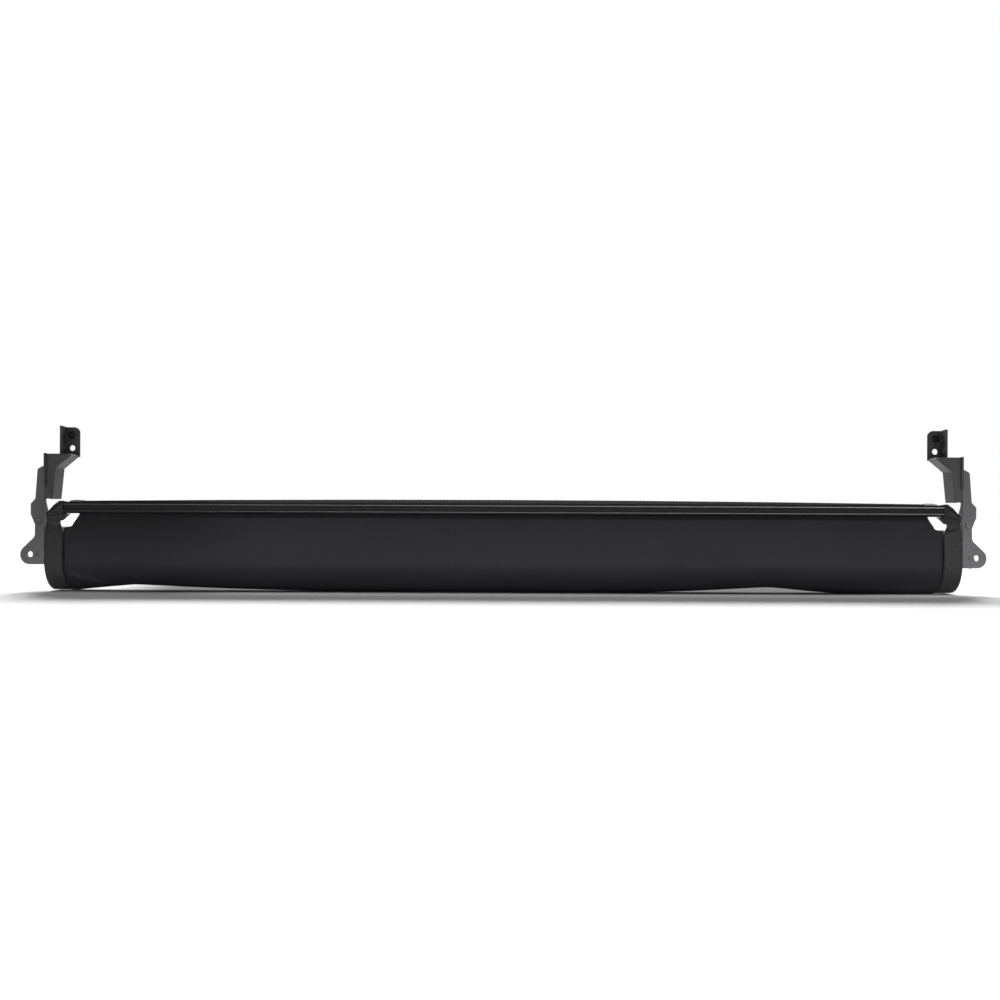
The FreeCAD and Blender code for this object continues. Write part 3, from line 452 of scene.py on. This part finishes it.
def pinches(x, angle):
    """How far the two puckers draw the cloth in."""
    under = bell(angle, PINCH_ANGLE, PINCH_SPREAD)
    drawn = PINCH_DEPTH * under * pucker(x - RIGHT_PINCH, left_reach=0.15, right_reach=0.09)
    if x > LEFT_PINCH:
        return drawn + PINCH_DEPTH * under * pucker(x - LEFT_PINCH, left_reach=0.1, right_reach=0.2)
    return drawn + facet(angle, between(-COVER_HALF, LEFT_PINCH, x))


def facet(angle, share):
    """The flat fold from the edge band, where share is 0, to the left pinch, and the crease above it."""
    crease_at_band, crease_drop = 26, 36
    soften_above, soften_below = math.radians(4), math.radians(30)
    ridge_height, ridge_spread = 0.0022, math.radians(6.5)
    crease = math.radians(crease_at_band + crease_drop * share)
    below = smooth(crease - soften_above, crease + soften_below, angle)
    kept = smooth(0.0, 0.1, share) * (1 - smooth(0.5, 0.85, share))
    cut = below + (1 - below) * smooth(0.45, 0.85, share)
    flat = PINCH_DEPTH * share * bell(angle, PINCH_ANGLE, PINCH_SPREAD) * cut
    return flat - ridge_height * bell(angle, crease, ridge_spread) * kept


def cover_half_width(height):
    """Half the drawn cloth's width: its corners are cut at a slant, rounded where they meet the band."""
    full = COVER_HALF - SIDE_PLAY
    shoulder, waist = ROLL_HIGH[2] - 0.0006, ROLL_HIGH[2] + 0.0034
    corner = BAR_LOW[2] - 0.0015
    narrow, notch = COVER_HALF - 0.0185, COVER_HALF - 0.0110
    slant = notch + (narrow - notch) * between(waist, corner, height)
    flare = 1 - between(shoulder, waist, height)
    return slant + (full - notch) * (1 - math.sqrt(max(1 - flare * flare, 0.0)))


def drawn_cover():
    """The outermost cloth: from the seam at the back, under the roll, and flat up into the bar."""
    columns, arc_rows, flat_rows, fine_rows = 361, 72, 74, 8
    front_calm, seam_calm = 0.5, 0.4
    top = LEAD_HIGH[2]

    def point(i, j):
        share = 2 * i / (columns - 1) - 1
        if j >= arc_rows:
            height = drawn_height(j - arc_rows + 1, fine_rows, flat_rows, top)
            return (share * cover_half_width(height), AXIS_Y - FRONT_RADIUS, height)
        angle = math.pi * (1 - j / (arc_rows - 1))
        x = share * cover_half_width(AXIS_Z)
        loose = smooth(COVER_HALF, COVER_HALF - CALM_EDGE, abs(x)) * (pinches(x, angle) - ripple(x, angle))
        loose *= smooth(0.0, front_calm, angle)
        loose *= smooth(math.pi, math.pi - seam_calm, angle)
        radius = FRONT_RADIUS - OUTER_CLOSING * angle / math.pi
        return on_roll(x, radius - loose, angle)

    piece = sheet("drawn_cover", columns, arc_rows + flat_rows, point, "cover_fabric", COVER_GAUGE)
    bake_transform(piece)
    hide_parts("fabric_lead")


def wound_cover():
    """The cloth under the outer turn: over the top from the back seam, then inwards on itself.

    Once it is under the roll it gives way to the puckers, over its whole width, so that it doesn't show."""
    columns, rows = 241, 150
    over_the_top, more_turns = 178, 1.35
    sweep = math.radians(over_the_top + 360 * more_turns)
    room = 0.0088

    def point(i, j):
        turn = sweep * j / (rows - 1)
        x = (2 * i / (columns - 1) - 1) * (COVER_HALF - INNER_PLAY)
        angle = math.pi + turn
        loose = smooth(0.0, 0.5, turn) * smooth(COVER_HALF, COVER_HALF - CALM_EDGE, abs(x))
        under = max(math.sin(angle), 0.0) if turn > math.pi else 0.0
        gives_way = room * under * smooth(math.pi, math.pi * 1.2, turn)
        radius = FRONT_RADIUS - OUTER_CLOSING - HALF_TURN_CLOSING * turn / math.pi
        return on_roll(x, radius + (loose * ripple(x * 1.1 + 0.4, turn) - gives_way), angle)

    piece = sheet("wound_cover", columns, rows, point, "cover_fabric", COVER_GAUGE)
    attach(piece, "roller")
    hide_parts("fabric_roll")


def band_coil(name):
    """An edge band wound on its drum: a true spiral of tape, a little thinned so that its turns stay open."""
    low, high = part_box(f"{name}_edge_band_coil")
    thinned, proud, seat = 0.93, 0.0004, 0.0001
    columns, rows = 7, 96 * TURNS
    gauge = BAND_GAUGE * thinned
    outer = COIL_RADIUS + proud - gauge / 2
    inner = DRUM_RADIUS + gauge / 2 + seat
    sweep = 2 * math.pi * TURNS

    def point(i, j):
        turn = sweep * j / (rows - 1)
        x = low[0] + (high[0] - low[0]) * i / (columns - 1)
        return on_roll(x, outer + (inner - outer) * turn / sweep, turn)

    piece = sheet(f"{name}_wound_band", columns, rows, point, "edge_band", gauge)
    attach(piece, "roller")
    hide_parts(f"{name}_edge_band_coil")


def along_x(node):
    """The least and the most that a node gets away from the middle, along X."""
    ends = sorted(abs(corner[0]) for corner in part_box(node))
    return ends[0], ends[1]


def band_lead(name, side):
    """The drawn stretch of an edge band, narrowing towards the shoe's foot."""
    low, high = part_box(f"{name}_edge_band_lead")
    coil_inside, coil_outside = along_x(f"{name}_edge_band_coil")
    clamp_inside, clamp_outside = along_x(f"{name}_band_clamp")
    inner_foot, outer_foot = coil_inside + SIDE_PLAY, coil_outside - SIDE_PLAY
    inner_top, outer_top = clamp_inside - 0.001, clamp_outside + 0.0036
    columns, arc_rows, flat_rows, fine_rows = 9, 30, 30, 10
    arc, sunk = math.radians(62), 0.0012
    middle = AXIS_Y - (low[1] + high[1]) / 2

    def point(i, j):
        share = i / (columns - 1)
        if j < arc_rows:
            angle = arc * (1 - j / (arc_rows - 1))
            x = inner_foot + (outer_foot - inner_foot) * share
            return on_roll(side * x, middle - sunk * (angle / arc) ** 2, angle)
        height = drawn_height(j - arc_rows + 1, fine_rows, flat_rows, high[2])
        rise = (height - AXIS_Z) / (high[2] - AXIS_Z)
        outside = outer_foot + (outer_top - outer_foot) * smooth(0.35, 1.1, rise)
        inside = inner_foot + (inner_top - inner_foot) * smooth(0.72, 0.95, rise)
        return (side * (inside + (outside - inside) * share), AXIS_Y - middle, height)

    gauge = BAND_GAUGE * 0.95
    piece = sheet(f"{name}_drawn_band", columns, arc_rows + flat_rows, point, "edge_band", gauge)
    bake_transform(piece)
    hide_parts(f"{name}_edge_band_lead")


# ---------------------------------------------------------------- studio


def white_floor():
    """White paper under the roll, with a painted shadow behind it so that no light shows under the puckers."""
    half = 6.0
    behind, shadow_half, fade_end, end_fade = 0.045, 0.05, 0.1, 0.12
    mesh = bpy.data.meshes.new("floor")
    corners = [(x * half, y * half, FLOOR_Z) for x, y in ((-1, -1), (1, -1), (1, 1), (-1, 1))]
    mesh.from_pydata(corners, [], [(0, 1, 2, 3)])
    material, tree, shader, place = new_material("floor_paper")
    box = split(tree, place)
    # Painted shadow: a dark band behind the roll's axis, fading out towards the cover's ends.
    across = fade(tree, apart(tree, box["Y"], AXIS_Y + behind), shadow_half, fade_end)
    along = fade(tree, apart(tree, box["X"], 0), COVER_HALF - end_fade, COVER_HALF)
    paper = ramp(tree, combine(tree, across, along, "MULTIPLY"), grey(0.93), grey(0.16), 0.0, 1.0)
    tree.links.new(paper, shader.inputs["Base Color"])
    shader.inputs["Roughness"].default_value = 0.9
    shader.inputs["Specular IOR Level"].default_value = 0.1
    mesh.materials.append(material)
    floor = add_object("floor", mesh)


def sky():
    """White surroundings that the camera sees, with a dimmer fill for the object."""
    world = bpy.data.worlds.new("studio")
    bpy.context.scene.world = world
    world.use_nodes = True
    tree = world.node_tree
    fill = tree.nodes["Background"]
    seen = tree.nodes.new("ShaderNodeBackground")
    for background, strength in ((fill, 0.05), (seen, 1.0)):
        background.inputs["Color"].default_value = (1, 1, 1, 1)
        background.inputs["Strength"].default_value = strength
    rays = tree.nodes.new("ShaderNodeLightPath")
    mix = tree.nodes.new("ShaderNodeMixShader")
    tree.links.new(rays.outputs["Is Camera Ray"], mix.inputs["Fac"])
    tree.links.new(fill.outputs["Background"], mix.inputs[1])
    tree.links.new(seen.outputs["Background"], mix.inputs[2])
    tree.links.new(mix.outputs["Shader"], tree.nodes["World Output"].inputs["Surface"])


def gridded_strip(name, place, size, spread, power, tilt=0):
    """A long strip light with a grid, facing back, tilted down: its beam is a narrow band on the object."""
    data = bpy.data.lights.new(name, "AREA")
    data.shape = "RECTANGLE"
    data.size, data.size_y = size
    data.spread = math.radians(spread)
    data.energy = power
    light = add_object(name, data)
    light.location = place
    light.rotation_euler = (math.radians(90 - tilt), 0, 0)


def sun_light(name, elevation, azimuth, spread, strength):
    """Even soft light from one side of the sky; azimuth 0 is the front."""
    data = bpy.data.lights.new(name, "SUN")
    data.energy = strength
    data.angle = math.radians(spread)
    level, turn = math.radians(elevation), math.radians(azimuth)
    across, ahead = math.sin(turn) * math.cos(level), -math.cos(turn) * math.cos(level)
    towards = Vector((across, ahead, math.sin(level)))
    add_object(name, data).rotation_euler = (-towards).to_track_quat("-Z", "Y").to_euler()


def studio():
    """A key from behind, weak fills from above and in front, and strips for the beads and the cloth."""
    sky()
    white_floor()
    sun_light("back_key_left", elevation=40, azimuth=196, spread=32, strength=2.9)
    sun_light("back_key_right", elevation=40, azimuth=166, spread=32, strength=2.4)
    sun_light("overhead", elevation=64, azimuth=8, spread=30, strength=0.36)
    sun_light("front_fill", elevation=27, azimuth=0, spread=26, strength=0.17)
    bead_place = (0.3, AXIS_Y - 0.55, BAR_HIGH[2] + 0.5)
    gridded_strip("bead_strip", bead_place, size=(1.3, 0.03), spread=14, power=0.3, tilt=45)
    cloth_place = (0, AXIS_Y - 0.45, AXIS_Z - 0.02)
    gridded_strip("front_grid", cloth_place, size=(1.12, 0.02), spread=21, power=0.17)


def camera():
    """Square-on and level, a little above the roller's axis, leaning slightly."""
    distance, height, aside, lean = 1.416, 0.0712, -0.0042, 0.25
    data = bpy.data.cameras.new("camera")
    data.sensor_width = 36
    data.lens = 42.48
    data.clip_start = 0.01
    eye = add_object("camera", data)
    eye.location = (aside, AXIS_Y - distance, AXIS_Z + height)
    eye.rotation_euler = (math.radians(90), 0, 0)
    eye.rotation_euler.rotate_axis("Z", math.radians(lean))
    bpy.context.scene.camera = eye


camera()
studio()
dress_nodes()
drawn_cover()
wound_cover()
for name, side in (("left", -1), ("right", 1)):
    band_coil(name)
    band_lead(name, side)
bpy.context.scene.view_settings.view_transform = "Standard"
